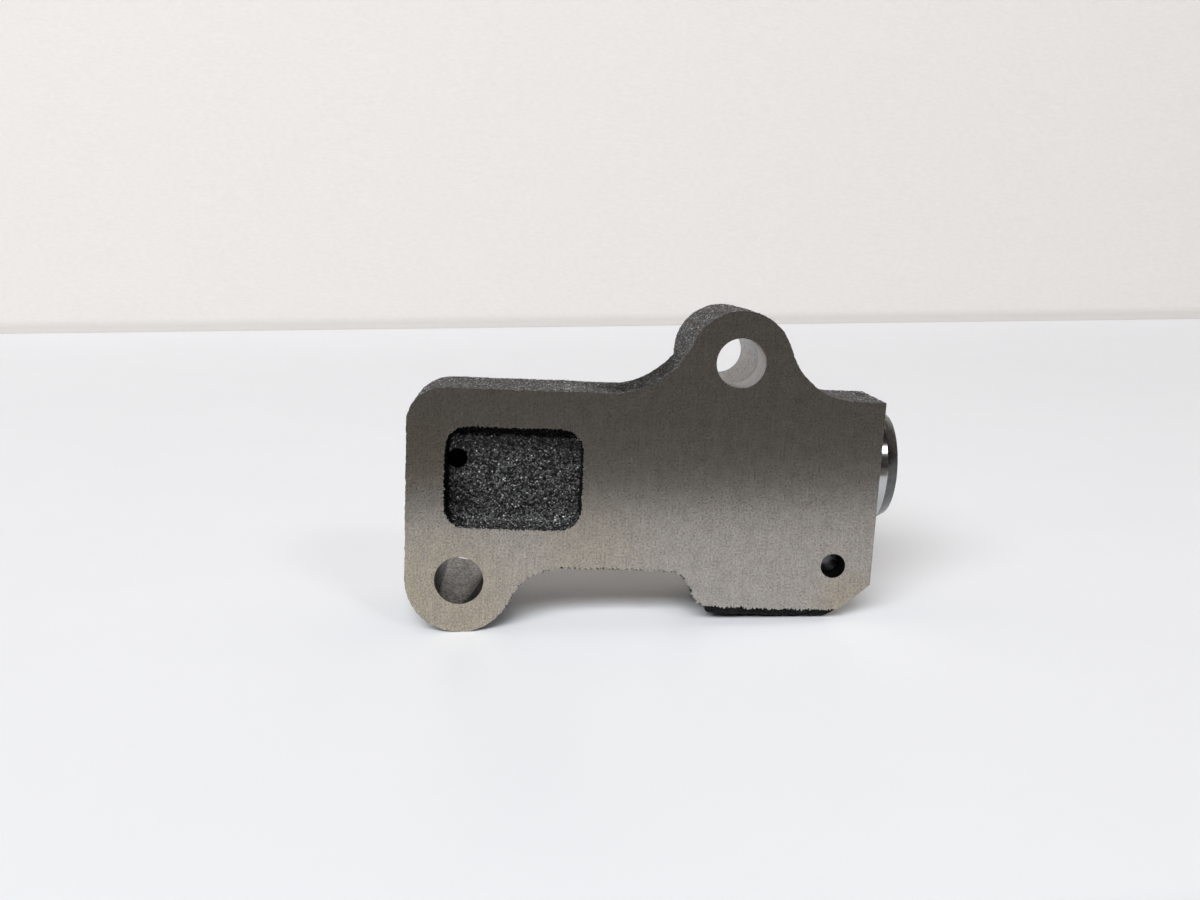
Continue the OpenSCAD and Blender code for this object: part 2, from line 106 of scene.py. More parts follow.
class Socket:
    """One output of a finish's nodes. Sums, differences and products of values add Math nodes."""

    def __init__(self, tree, output):
        self.tree = tree
        self.output = output

    def node(self, kind, settings, inputs, give=0):
        """Adds a node: its settings come first, then the values or links of its inputs."""
        made = self.tree.nodes.new(kind)
        for name, value in settings.items():
            setattr(made, name, value)
        for name, value in inputs.items():
            if isinstance(value, Socket):
                self.tree.links.new(value.output, made.inputs[name])
            else:
                made.inputs[name].default_value = value
        return Socket(self.tree, made.outputs[give])

    def maths(self, operation, first, second):
        """A Math node on two values or links."""
        return self.node("ShaderNodeMath", {"operation": operation}, {0: first, 1: second})

    def __add__(self, other):
        return self.maths("ADD", self, other)

    def __sub__(self, other):
        return self.maths("SUBTRACT", self, other)

    def __rsub__(self, other):
        return self.maths("SUBTRACT", other, self)

    def __mul__(self, other):
        return self.maths("MULTIPLY", self, other)

    __radd__ = __add__
    __rmul__ = __mul__

    def stretch(self, x, y, z):
        """This place with its axes multiplied."""
        return self.node("ShaderNodeVectorMath", {"operation": "MULTIPLY"}, {0: self, 1: (x, y, z)})

    def axis(self, name):
        """One axis of this place, as a value."""
        return self.node("ShaderNodeSeparateXYZ", {}, {0: self}, name)

    def distance(self, x, y, z):
        """Distance of this place from a point."""
        return self.node("ShaderNodeVectorMath", {"operation": "DISTANCE"}, {0: self, 1: (x, y, z)},
                         "Value")

    def noise(self, scale, detail=2.0, rough=0.5):
        """Cloudy noise at this place."""
        return self.node("ShaderNodeTexNoise", {},
                         {"Vector": self, "Scale": scale, "Detail": detail, "Roughness": rough})

    def grains(self, scale, give="Distance"):
        """Grains at this place: the distance from the nearest one's middle, or its own colour."""
        return self.node("ShaderNodeTexVoronoi", {}, {"Vector": self, "Scale": scale}, give)

    def facing(self):
        """The way that the surface faces at this place."""
        return self.node("ShaderNodeTexCoord", {}, {}, "Normal")

    def rise(self, low, high):
        """0 where this value is under low, 1 where it is over high, and smooth between."""
        return self.node("ShaderNodeMapRange", {"interpolation_type": "SMOOTHSTEP"},
                         {"Value": self, "From Min": low, "From Max": high})

    def between(self, low, high, fade):
        """1 where this value is between low and high, and fading to 0 outside."""
        return self.rise(low - fade, low) * (1 - self.rise(high, high + fade))

    def colour(self, at_0, at_1):
        """The colour between two colours that this value picks."""
        return self.node("ShaderNodeMix", {"data_type": "RGBA"}, {0: self, 6: at_0, 7: at_1}, 2)

    def bump(self, depth, strength=1.0):
        """The surface's normal, raised by this height."""
        return self.node("ShaderNodeBump", {},
                         {"Height": self, "Distance": depth, "Strength": strength})

    def feed(self, shader, name):
        """Links this output to one of the shader's inputs."""
        self.tree.links.new(self.output, shader.inputs[name])


def new_finish(name, **constants):
    """A new material, its shader with its constant values, and the place on the piece in mm."""
    material = bpy.data.materials.new(name)
    material.use_nodes = True
    tree = material.node_tree
    shader = tree.nodes["Principled BSDF"]
    for socket, value in constants.items():
        shader.inputs[socket].default_value = value
    metres = Socket(tree, tree.nodes.new("ShaderNodeTexCoord").outputs["Object"])
    return material, shader, metres.stretch(1 / mm, 1 / mm, 1 / mm)


def grey(level, warm=0.0):
    """A grey as the shader takes it, warmer above 0."""
    return (level * (1 + warm), level, level * (1 - warm), 1)


def make_cast_skin():
    """Sand-cast iron: black and coarse, with grey grains and dark gaps between them. Painted glints stand in for
    light caught by crystals, a painted highlight runs along the ground edges, painted light makes faces that turn
    up lighter, and painted shade darkens faces that turn down or right, the pocket's walls, the floor under its
    roof and the fillet beside the upper lug."""
    material, shader, at = new_finish("cast_skin", Metallic=0.8, **{"Specular IOR Level": 0.05})
    own = at.grains(4.4, "Color").axis("X")
    gap = at.grains(4.4).rise(0.3, 0.62)
    sand = at.noise(2.2, 3.0, 0.65)
    # Painted light and shade: faces that turn up are painted lighter, and faces that turn down or to the right are
    # painted darker, as the window's light falls on them.
    shade_right = at.maths("MAXIMUM", at.facing().axis("X"), 0.0)
    lit_facing = (at.facing().axis("Z") * 0.75 - shade_right * 0.45).rise(-0.8, 0.9)
    body = (own * 0.45 + sand * 0.55 + lit_facing * 0.3 - 0.13).rise(0.2, 0.9)
    # Painted glints: bright specks standing in for light caught by crystal facets, more of them on faces that turn
    # up.
    painted_glint = (own + lit_facing * 0.14).rise(1.0, 1.04) * sand.rise(0.38, 0.55)
    # Painted highlight: a bright band along the ground edge of faces that turn up, standing in for light caught by
    # its chips and burrs.
    chips = (1 - at.axis("Y").rise(0.1, 0.7)) * at.noise(1.5, 3.0).rise(0.5, 0.62) * lit_facing.rise(0.5, 0.9)
    height = at.axis("Z")
    floor, roof = pocket_floor / mm, pocket_roof / mm
    pocket = (at.axis("X").between(pocket_left / mm, pocket_right / mm, 0.5)
              * height.between(pocket_low / mm, pocket_high / mm, 0.5))
    # Painted shade in the pocket: its side and top walls, a band under its roof where the roof's shadow falls, and
    # the fillet beside the upper lug.
    wall = pocket * (1 - at.axis("Y").rise(floor - 0.7, floor))
    sill = wall * lit_facing.rise(0.55, 0.8)
    under_roof = pocket * height.rise(roof - 0.7, roof)
    fillet = 1 - at.distance(-13.0, 6.0, -2.5).rise(3.5, 8.5)
    painted_shade = wall - sill + under_roof + fillet * 0.7
    # Painted light: the pocket floor's upper part, below the roof, is painted lighter, as if the roof's shadow did
    # not fall there; the pocket's lower wall, which turns up to the light, is painted darker under more painted
    # glints.
    painted_light_floor = pocket * (1 - wall) * height.rise(roof - 3.5, roof)
    body = (body + painted_light_floor * 0.3 - sill * 0.35).rise(0.0, 1.0)
    painted_glint = painted_glint + sill * own.rise(0.76, 0.8) * 0.8
    tone = body.colour(grey(0.01), grey(0.31, 0.01))
    tone = (painted_glint + chips * 0.6).colour(tone, grey(0.95))
    # Nearly black: the dark gaps between the grains, and painted shade on faces that turn down, on the pocket's
    # walls, under its roof and in the fillet.
    gaps_and_shade = gap * 0.7 + ((1 - lit_facing).rise(0.65, 0.95) + painted_shade) * 0.86
    gaps_and_shade.colour(tone, grey(0.006)).feed(shader, "Base Color")
    (0.6 - painted_glint * 0.3).feed(shader, "Roughness")
    (sand * 0.8 + own * 0.35 - gap * 0.4).bump(0.3 * mm, 1.0).feed(shader, "Normal")
    return material


def make_ground_iron():
    """Ground iron: warm grey and finely speckled, with faint upright lines, pores, brown stains
    and a few bright scratches."""
    material, shader, at = new_finish("ground_iron", Metallic=1.0, Anisotropic=0.7)
    lines = at.stretch(4.5, 1.0, 0.15).noise(1.0, 2.0, 0.6)
    speckle = at.noise(3.6, 2.0, 0.7)
    mottle = at.noise(0.55, 4.0, 0.6)
    pores = at.noise(3.2, 1.0).rise(0.71, 0.78)
    bright = at.noise(4.2, 1.0).rise(0.72, 0.78)
    tone = (lines * 0.17 + speckle * 0.63 + mottle * 0.2).rise(0.34, 0.66)
    worn = tone.colour(grey(0.225, 0.09), grey(0.41, 0.077))
    stained = tone.colour((0.235, 0.207, 0.158, 1), (0.43, 0.381, 0.295, 1))
    stains = ((-40.0, -35.0, 17.0, 0.85), (17.5, -33.5, 7.0, 0.7), (-20.0, -27.0, 12.0, 0.5),
              (-43.0, -14.0, 8.0, 0.5))
    for x, z, reach, depth in stains:
        stain = (1 - at.distance(x, 0.0, z).rise(0.2 * reach, reach)) * mottle.rise(0.15, 0.5)
        worn = (stain * depth).colour(worn, stained)
    marks = ((-17.2, -7.5, -56.0, 2.4), (-4.2, -10.4, -3.0, 1.1), (-11.8, -14.7, -3.0, 0.7),
             (-14.6, -20.6, 62.0, 1.3), (10.4, -9.7, 74.0, 0.9))
    scratches = 0.0
    for x, z, lean, length in marks:
        run, climb = math.cos(math.radians(lean)), math.sin(math.radians(lean))
        ahead = at.axis("X") * run + at.axis("Z") * climb - (x * run + z * climb)
        aside = at.axis("Z") * run - at.axis("X") * climb - (z * run - x * climb)
        scratches = scratches + ((1 - at.maths("ABSOLUTE", ahead, 0).rise(0.3 * length, 0.5 * length))
                                 * (1 - at.maths("ABSOLUTE", aside, 0).rise(0.01, 0.06)))
    pitted = (pores * 0.25).colour(worn, grey(0.06))
    (bright * 0.5 + scratches * 0.6).colour(pitted, grey(0.6)).feed(shader, "Base Color")
    (0.24 + speckle * 0.08 + pores * 0.15).feed(shader, "Roughness")
    (lines * 0.3 + speckle * 0.8 - pores * 0.3).bump(0.006 * mm, 0.5).feed(shader, "Normal")
    return material


def make_reamed_wall():
    """Reamed hole: pale iron, torn specks, and a fine ring where two cuts met."""
    material, shader, at = new_finish("reamed_wall", Metallic=1.0)
    depth = at.axis("Y") + at.axis("X") * 0.12
    rings = at.stretch(0.15, 5.0, 0.15).noise(1.0, 2.0, 0.6)
    behind = depth.rise(6.0, 6.3)
    ring = behind * (1 - depth.rise(6.35, 6.6))
    specks = at.noise(2.6, 3.0, 0.6).rise(0.5, 0.66) * (0.35 + behind * 0.65)
    tone = (rings - behind * 0.2).rise(0.1, 0.7).colour(grey(0.16, 0.05), grey(0.38, 0.04))
    (specks * 0.7 + ring * 0.6).colour(tone, grey(0.09, 0.03)).feed(shader, "Base Color")
    (0.26 + rings * 0.1 + specks * 0.2).feed(shader, "Roughness")
    (rings * 0.5 - specks - ring).bump(0.02 * mm, 0.5).feed(shader, "Normal")
    return material


def make_cored_wall():
    """Cored hole that the drill only half cleaned: mottled grey, with painted shade, nearly black, at its sides.
    """
    material, shader, at = new_finish("cored_wall", Metallic=1.0)
    aside = at.axis("X") - bolt_holes[1]["pos_m"][0] / mm
    blotch = at.noise(1.1, 4.0, 0.65)
    specks = at.noise(3.0, 2.0, 0.6).rise(0.5, 0.64)
    edge = blotch * 1.6 - 0.8
    # Painted shade: nearly black crescents at the hole's left and right sides.
    shade_left = 1 - (aside + edge * 0.6).rise(-2.75, -2.55)
    shade_right = (aside + edge * 0.5 - at.axis("Y") * 0.35).rise(0.35, 0.6)
    cloud = (blotch * 0.7 + at.noise(4.0) * 0.3).rise(0.35, 0.65)
    tone = cloud.colour(grey(0.10, 0.08), grey(0.34, 0.08))
    tone = (specks * 0.7).colour(tone, grey(0.05, 0.03))
    (shade_left + shade_right).rise(0.3, 0.7).colour(tone, grey(0.008)).feed(shader, "Base Color")
    (0.36 + specks * 0.2).feed(shader, "Roughness")
    (blotch * 0.5 - specks).bump(0.03 * mm, 0.6).feed(shader, "Normal")
    return material


def make_oily_hole():
    """Drilled hole black with oil."""
    material, shader, at = new_finish("oily_hole", Metallic=1.0)
    film = at.noise(1.8, 3.0)
    film.rise(0.4, 0.7).colour(grey(0.006), grey(0.03)).feed(shader, "Base Color")
    (0.25 + film * 0.2).feed(shader, "Roughness")
    film.bump(0.02 * mm, 0.5).feed(shader, "Normal")
    return material


def bar(start, end, radius, end_radius=None, sides=96):
    """A round bar between two points, or a cone where its end has another radius."""
    shape = bmesh.new()
    way = end - start
    turn = way.to_track_quat("Z", "Y").to_matrix().to_4x4()
    bmesh.ops.create_cone(shape, cap_ends=True, segments=sides, radius1=radius,
                          radius2=radius if end_radius is None else end_radius,
                          depth=way.length, matrix=Matrix.Translation((start + end) / 2) @ turn)
    return shape


def block(low, high):
    """A square block between two corners."""
    shape = bmesh.new()
    size = Matrix.Diagonal((high - low).to_4d())
    bmesh.ops.create_cube(shape, size=1, matrix=Matrix.Translation((low + high) / 2) @ size)
    return shape


def prism(outline, y_front, y_back):
    """A prism along Y with an outline in X and Z."""
    shape = bmesh.new()
    front = shape.faces.new([shape.verts.new((x, y_front, z)) for x, z in outline])
    back = bmesh.ops.extrude_face_region(shape, geom=[front])
    raised = [v for v in back["geom"] if isinstance(v, bmesh.types.BMVert)]
    bmesh.ops.translate(shape, verts=raised, vec=(0, y_back - y_front, 0))
    bmesh.ops.recalc_face_normals(shape, faces=shape.faces)
    return shape


def new_object(name, shape):
    """An object at the origin that holds a finished shape."""
    mesh = bpy.data.meshes.new(name)
    shape.to_mesh(mesh)
    shape.free()
    made = bpy.data.objects.new(name, mesh)
    bpy.context.scene.collection.objects.link(made)
    return made


def settle(piece):
    """Applies a piece's modifiers to its mesh."""
    whole = piece.evaluated_get(bpy.context.evaluated_depsgraph_get())
    mesh = bpy.data.meshes.new_from_object(whole)
    piece.modifiers.clear()
    piece.data = mesh


def cut(piece, tools):
    """Takes each tool's shape out of a piece, and gives the new walls the tool's finish."""
    cutters = []
    for shape, finish in tools:
        cutter = new_object("tool", shape)
        cutter.data.materials.append(finish)
        cutters.append(cutter)
        take = piece.modifiers.new("cut", "BOOLEAN")
        take.solver = "MANIFOLD"
        take.material_mode = "TRANSFER"
        take.object = cutter
    settle(piece)
    for cutter in cutters:
        bpy.data.objects.remove(cutter)


def merged_copy(node):
    """A copy of a CAD node's shape with its loose triangles joined."""
    shape = bmesh.new()
    shape.from_mesh(frame["nodes"][node].data)
    bmesh.ops.remove_doubles(shape, verts=shape.verts, dist=weld)
    return shape


def shade(piece, sharp_deg=35.0):
    """Smooth shading, with crisp edges where the finish changes or the faces turn sharply."""
    shape = bmesh.new()
    shape.from_mesh(piece.data)
    for face in shape.faces:
        face.smooth = True
    for edge in shape.edges:
        faces = edge.link_faces
        same = len(faces) == 2 and faces[0].material_index == faces[1].material_index
        edge.smooth = same and edge.calc_face_angle(0.0) < math.radians(sharp_deg)
    shape.to_mesh(piece.data)
    shape.free()


def finished(name, shape, finish):
    """A shaded object that holds a finished shape, all in one finish."""
    made = new_object(name, shape)
    made.data.materials.append(finish)
    shade(made)
    return made


def across(x, z, y):
    """A place on a line through the casting at X and Z, as deep as y."""
    return Vector((x, y, z))


def along(x):
    """A place on the bore's axis."""
    return Vector((x, bore_axis.y, bore_axis.z))


def clamped(value):
    """A value held between 0 and 1."""
    return max(0, min(1, value))


def chipped(place):
    """Whether the ground edge is ragged here: round the pocket, in the arch and under the foot."""
    return (place.x > chip_left and place.z < chip_top
            or pocket_left < place.x < pocket_right and pocket_low < place.z < pocket_high)


cast_skin = make_cast_skin()
ground_iron = make_ground_iron()
reamed_wall = make_reamed_wall()
cored_wall = make_cored_wall()
oily_hole = make_oily_hole()

# The casting as poured: the holes filled, and stock standing on the faces that are ground later
poured = merged_copy("housing")
for vert in poured.verts:
    if vert.co.y < skin_grain:
        vert.co.y -= stock
    if vert.co.x > end_x - skin_grain:
        vert.co.x += stock
plugs = [
    bar(along(bore_floor - plug_grow), along(end_x + stock), bore_r + plug_grow),
    bar(across(pin_axis.x, pin_axis.z, -stock), across(pin_axis.x, pin_axis.z, foot_depth),
        pin_r + plug_grow),
    bar(oil_place, along(oil_place.x) + Vector((0, oil_r, 0)), oil_r + plug_grow),
    bar(along(oil_place.x - oil_r), along(bore_floor), feed_r + plug_grow),
    block(Vector((slot_left - plug_grow, bore_axis.y - slot_half - plug_grow, foot_z - foot_drop / 3)),
          Vector((end_x + stock, bore_axis.y + slot_half + plug_grow, bore_axis.z))),
]
# The foot's heel: behind the face its underside steps down to the table, which the foot rests on; its sloped front
# turns down, so the skin's painted shade makes it black, standing in for the shadow under the foot.
heel = block(Vector((foot_left, heel_front, foot_z - foot_drop)),
             Vector((heel_right, foot_depth - mm, foot_z + mm)))
for vert in heel.verts:
    if vert.co.z < foot_z and vert.co.y < foot_depth / 2:
        vert.co.y += foot_drop
plugs.append(heel)
for hole in bolt_holes:
    x, _, z = hole["pos_m"]
    back = hole["dims"]["length_mm"] * mm
    plugs += [bar(across(x, z, -stock), across(x, z, back + spot_depth), bolt_r + plug_grow),
              bar(across(x, z, back - plug_grow), across(x, z, back + spot_depth), spot_r + plug_grow)]
for plug in plugs:
    filler = bpy.data.meshes.new("filler")
    plug.to_mesh(filler)
    poured.from_mesh(filler)
    bpy.data.meshes.remove(filler)
housing = new_object("housing_casting", poured)
remesh = housing.modifiers.new("skin", "REMESH")
remesh.mode = "VOXEL"
remesh.voxel_size = skin_grain
settle(housing)
housing.data.materials.append(cast_skin)

# Rounded cast edges, then the sand's grain, the chips along the ground edges and the foot's draft
skin = bmesh.new()
skin.from_mesh(housing.data)
for _ in range(skin_rounding):
    bmesh.ops.smooth_vert(skin, verts=skin.verts, factor=0.5, use_axis_x=True, use_axis_y=True,
                          use_axis_z=True)
for band in (ragged_band, ragged_band / 2):
    near_face = [e for e in skin.edges if all(abs(v.co.y) < band and chipped(v.co) for v in e.verts)]
    bmesh.ops.subdivide_edges(skin, edges=near_face, cuts=1, use_grid_fill=True)
skin.normal_update()
for vert in skin.verts:
    place = vert.co / mm
    wave = noise.noise(place * wave_scale) * wave_depth
    sand = (noise.noise(place * lump_scale) * lump_depth
            + noise.noise(place * grain_scale + grain_shift) * grain_depth)
    if chipped(vert.co):
        chips = noise.noise(place * chip_scale) * (pocket_chip if vert.co.z > chip_top else foot_chip)
        sand += chips * clamped(1 - abs(vert.co.y) / ragged_band)
    if vert.co.x > foot_left - stock:
        under = clamped(1 - (vert.co.z - foot_z) / mm) * clamped(1 - vert.co.y / ragged_band)
        vert.co.z += foot_lift * under
    vert.co += vert.normal * (wave + sand) * mm
skin.to_mesh(housing.data)
skin.free()

# Ground on the mounting face, the plunger end and the foot's bevel, then bored, drilled and slotted
bevel_outline = [(end_x - 2 * bevel_x, foot_z - bevel_z), (end_x + bevel_x, foot_z + 2 * bevel_z),
                 (end_x + bevel_x, foot_z - bevel_z)]
mill_low, mill_high = Vector((-1, -1, -1)) * mill_reach, Vector((1, 1, 1)) * mill_reach
cuts = [
    (block(mill_low, Vector((mill_high.x, 0, mill_high.z))), ground_iron),
    (block(Vector((end_x, mill_low.y, mill_low.z)), mill_high), ground_iron),
    (prism(bevel_outline, -tool_past, foot_depth + tool_past), ground_iron),
    (bar(along(bore_floor), along(end_x + tool_past), bore_r), reamed_wall),
    (bar(along(end_x - 2 * bore_chamfer), along(end_x + tool_past), bore_r - bore_chamfer,
         bore_r + bore_chamfer + tool_past), ground_iron),
    (bar(oil_place - Vector((0, tool_past / 2, 0)), along(oil_place.x), oil_r), oily_hole),
    (bar(along(oil_place.x), along(bore_floor + tool_past), feed_r), oily_hole),
    (bar(across(pin_axis.x, pin_axis.z, -tool_past),
         across(pin_axis.x, pin_axis.z, foot_depth + tool_past), pin_r), oily_hole),
    (block(Vector((slot_left, bore_axis.y - slot_half, foot_z - tool_past)),
           Vector((end_x + tool_past, bore_axis.y + slot_half, slot_ceiling))), ground_iron),
    (block(Vector((window_left, bore_axis.y - slot_half, slot_ceiling - tool_past)),
           Vector((end_x + tool_past, bore_axis.y + slot_half, bore_axis.z))), ground_iron),
]
for hole, wall_finish in zip(bolt_holes, (reamed_wall, cored_wall)):
    x, _, z = hole["pos_m"]
    back = hole["dims"]["length_mm"] * mm
    cuts += [(bar(across(x, z, -tool_past), across(x, z, back + tool_past), bolt_r), wall_finish),
             (bar(across(x, z, back), across(x, z, back + tool_past), spot_r), ground_iron)]
coil_low, coil_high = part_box("pawl_spring")
coil_seat = (coil_low + coil_high) / 2
cuts.append((bar(Vector((coil_seat.x, coil_seat.y, slot_ceiling - mm)),
                 Vector((coil_seat.x, coil_seat.y, coil_high.z + coil_play)), coil_seat_r),
             reamed_wall))
cut(housing, cuts)
shade(housing)
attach(housing, "body")
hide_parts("housing")

# Check valve: a pressed-in seat, a polished ball, the spring behind it and a pressed cage with
# three windows. It lets oil into the bore and stops it from running back out.
wire_sides, coil_steps = 12, 36
valve_wire_r, valve_turns = 0.15 * mm, 4


def make_bright_steel(name, dark, light, rough):
    """Bright pressed or drawn steel with fine scratches."""
    material, shader, at = new_finish(name, Metallic=1.0)
    scratches = at.stretch(1.0, 6.0, 1.5).noise(1.0, 4.0, 0.7)
    cloud = at.noise(1.1, 3.0)
    tone = (scratches * 0.5 + cloud * 0.5).rise(0.3, 0.7).colour(grey(dark, 0.01), grey(light, 0.01))
    tone.feed(shader, "Base Color")
    (rough + scratches * 0.12).feed(shader, "Roughness")
    scratches.bump(0.005 * mm, 0.4).feed(shader, "Normal")
    return material


def refinish(node, finish):
    """Gives a CAD node its finish."""
    for place in frame["nodes"][node].material_slots:
        place.material = finish


def wound(node, along_axis, wire_r, turns):
    """A coil spring in the space of a CAD spring, with a closed turn at each end."""
    low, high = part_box(node)
    size = high - low
    axis = Vector(along_axis)
    length = size.dot(axis)
    aside = Vector((0, 1, 0))
    coil_r = size.dot(aside) / 2 - wire_r
    foot = (low + high) / 2 - axis * (length / 2)
    closed_pitch = 2.1 * wire_r
    open_pitch = (length - 2 * wire_r - 2 * closed_pitch) / (turns - 2)
    shape = bmesh.new()
    tangent = axis.cross(aside)
    start = Matrix.Translation(foot + aside * coil_r + axis * wire_r)
    facing = tangent.to_track_quat("Z", "Y").to_matrix().to_4x4()
    bmesh.ops.create_circle(shape, segments=wire_sides, radius=wire_r, matrix=start @ facing)
    ring = shape.verts[:] + shape.edges[:]
    for turn_count, pitch in ((1, closed_pitch), (turns - 2, open_pitch), (1, closed_pitch)):
        swept = bmesh.ops.spin(shape, geom=ring, cent=foot, axis=axis,
                               dvec=axis * (pitch / coil_steps),
                               angle=2 * math.pi * turn_count, steps=coil_steps * turn_count)
        ring = swept["geom_last"]
    ends = [e for e in shape.edges if e.is_boundary]
    bmesh.ops.holes_fill(shape, edges=ends, sides=wire_sides)
    bmesh.ops.recalc_face_normals(shape, faces=shape.faces)
    return shape


pressed_steel = make_bright_steel("pressed_steel", 0.42, 0.56, 0.28)
spring_steel = make_bright_steel("spring_steel", 0.22, 0.36, 0.3)
ball_steel = make_bright_steel("ball_steel", 0.6, 0.68, 0.06)
for node in ("valve_seat", "valve_cage"):
    refinish(node, pressed_steel)
refinish("valve_ball", ball_steel)
valve_coil = finished("valve_coil", wound("valve_spring", (1, 0, 0), valve_wire_r, valve_turns),
                      spring_steel)
coil_low, coil_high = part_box("valve_spring")
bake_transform(valve_coil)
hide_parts("valve_spring")

# Plunger spring: steel wire wound with a closed turn at each end. It stands on the valve's cage
# inside the plunger and pushes the plunger out.
plunger_wire_r, plunger_turns = 0.5 * mm, 12
plunger_coil = finished("plunger_coil", wound("plunger_spring", (1, 0, 0), plunger_wire_r,
                                              plunger_turns), spring_steel)
coil_low, coil_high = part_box("plunger_spring")
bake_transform(plunger_coil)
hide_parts("plunger_spring")

# Plunger: a steel piston, turned and ground, with a chamfered nose and a ratchet rack along its
# underside. Its hollow takes the spring, and a vent through the nose lets trapped air out.
nose_chamfer_l, nose_chamfer_r = 1.75 * mm, 1.0 * mm
rear_chamfer = 0.5 * mm
hollow_r = 5.2 * mm
hollow_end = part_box("vent_disc")[1].x
vent_r = 0.6 * mm
edge_round = 0.07 * mm
turning_steps = 160
rack_left, rack_right = 1.99 * mm, end_x + 0.4 * mm
rack_depth = 0.5 * mm
rack_flat_z = bore_axis.z - plunger_r + rack_depth
notch_count, tooth_h = 7, 0.8 * mm
tooth_past_pin = 3.95 * mm
notch_first = pin_axis.x + tooth_past_pin
climb_run, root_half, block_run = 0.6 * mm, 0.15 * mm, 0.67 * mm
slide = next(joint for joint in frame["joints"] if joint["name"] == "plunger_slide")
notch_pitch = slide["range_m"][1] / (notch_count - 1)


def make_polished_steel():
    """Ground and polished steel: fine turning lines and a little haze."""
    material, shader, at = new_finish("polished_steel", Metallic=1.0)
    lines = at.stretch(9.0, 0.1, 0.1).noise(1.0, 3.0, 0.7)
    haze = at.noise(0.7, 3.0)
    tone = (lines * 0.5 + haze * 0.5).rise(0.3, 0.7).colour(grey(0.42, -0.01), grey(0.52, -0.01))
    tone.feed(shader, "Base Color")
    (0.1 + lines * 0.08 + haze.rise(0.45, 0.75) * 0.08).feed(shader, "Roughness")
    lines.bump(0.004 * mm, 0.4).feed(shader, "Normal")
    return material


def make_hardened_steel():
    """Hardened steel left as it came from the furnace: dark grey, a little cloudy."""
    material, shader, at = new_finish("hardened_steel", Metallic=1.0)
    haze = at.noise(1.3, 3.0)
    grain = at.noise(8.0, 2.0)
    (haze * 0.6 + grain * 0.4).rise(0.3, 0.7).colour(grey(0.085), grey(0.14)).feed(shader, "Base Color")
    (0.2 + haze * 0.15).feed(shader, "Roughness")
    grain.bump(0.006 * mm, 0.4).feed(shader, "Normal")
    return material


def spun(profile, steps):
    """A turned solid about the bore axis: the profile holds places along it and radii."""
    shape = bmesh.new()
    ring = [shape.verts.new(along(x) + Vector((0, 0, r))) for x, r in profile]
    edges = [shape.edges.new((ring[i - 1], ring[i])) for i in range(len(ring))]
    bmesh.ops.spin(shape, geom=ring + edges, cent=along(0), axis=(1, 0, 0), angle=2 * math.pi,
                   steps=steps, use_merge=True)
    bmesh.ops.remove_doubles(shape, verts=shape.verts, dist=weld)
    bmesh.ops.recalc_face_normals(shape, faces=shape.faces)
    return shape


def soften(shape, width, over_deg=25.0):
    """A small round on every edge sharper than the given angle."""
    sharp = [e for e in shape.edges if e.calc_face_angle(0.0) > math.radians(over_deg)]
    bmesh.ops.bevel(shape, geom=sharp, offset=width, segments=2, profile=0.5, affect="EDGES",
                    material=-1, clamp_overlap=True)


polished_steel = make_polished_steel()
hardened_steel = make_hardened_steel()
rear, nose = plunger_low.x, plunger_high.x
piston = spun([(rear, hollow_r), (rear, plunger_r - rear_chamfer), (rear + rear_chamfer, plunger_r),
               (nose - nose_chamfer_l, plunger_r), (nose, plunger_r - nose_chamfer_r),
               (nose, vent_r), (hollow_end, vent_r), (hollow_end, hollow_r)], turning_steps)
soften(piston, edge_round)
for face in piston.faces:
    middle = face.calc_center_median()
    out = (middle - along(middle.x)).length
    face.material_index = 0 if out > plunger_r - edge_round / 2 else 1
plunger = new_object("plunger_piston", piston)
plunger.data.materials.append(polished_steel)
plunger.data.materials.append(hardened_steel)
y_front, y_back = plunger_low.y - mm, plunger_high.y + mm
rack_cuts = [(block(Vector((rack_left, y_front, rack_flat_z - plunger_r)),
                    Vector((rack_right, y_back, rack_flat_z))), hardened_steel)]
for notch in range(notch_count):
    x = notch_first - notch * notch_pitch
    low, top = rack_flat_z - mm, rack_flat_z + tooth_h
    rack_cuts.append((prism([(x - root_half - climb_run, low), (x + root_half + block_run, low),
                             (x + root_half + block_run, rack_flat_z), (x + root_half, top),
                             (x - root_half, top), (x - root_half - climb_run, rack_flat_z)],
                            y_front, y_back), hardened_steel))
cut(plunger, rack_cuts)
shade(plunger)
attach(plunger, "plunger")
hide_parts("plunger")
refinish("vent_disc", pressed_steel)

# Ratchet: a sintered pawl on a steel pin in the foot's slot. Its tooth holds the plunger's rack,
# and a small spring under the slot's ceiling keeps the tooth up.
pawl_round, pin_round = 0.12 * mm, 0.25 * mm
pawl_wire_r, pawl_turns = 0.25 * mm, 5


def make_sintered_steel():
    """Sintered steel: dark, evenly grained, a little oily."""
    material, shader, at = new_finish("sintered_steel", Metallic=0.9)
    grain = at.noise(6.0, 3.0, 0.6)
    tone = grain.rise(0.3, 0.7).colour(grey(0.10, 0.01), grey(0.22, 0.01))
    tone.feed(shader, "Base Color")
    (0.38 + grain * 0.15).feed(shader, "Roughness")
    grain.bump(0.02 * mm, 0.5).feed(shader, "Normal")
    return material


def eased_copy(node, width):
    """A copy of a CAD node's shape with every sharp edge eased."""
    shape = merged_copy(node)
    bmesh.ops.dissolve_limit(shape, angle_limit=math.radians(0.5), verts=shape.verts,
                             edges=shape.edges)
    soften(shape, width, over_deg=30.0)
    return shape


sintered_steel = make_sintered_steel()
pawl = finished("pawl_lever", eased_copy("ratchet_pawl", pawl_round), sintered_steel)
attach(pawl, "pawl")
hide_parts("ratchet_pawl")

pin = finished("pivot_pin", eased_copy("pawl_pin", pin_round), hardened_steel)
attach(pin, "body")
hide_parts("pawl_pin")

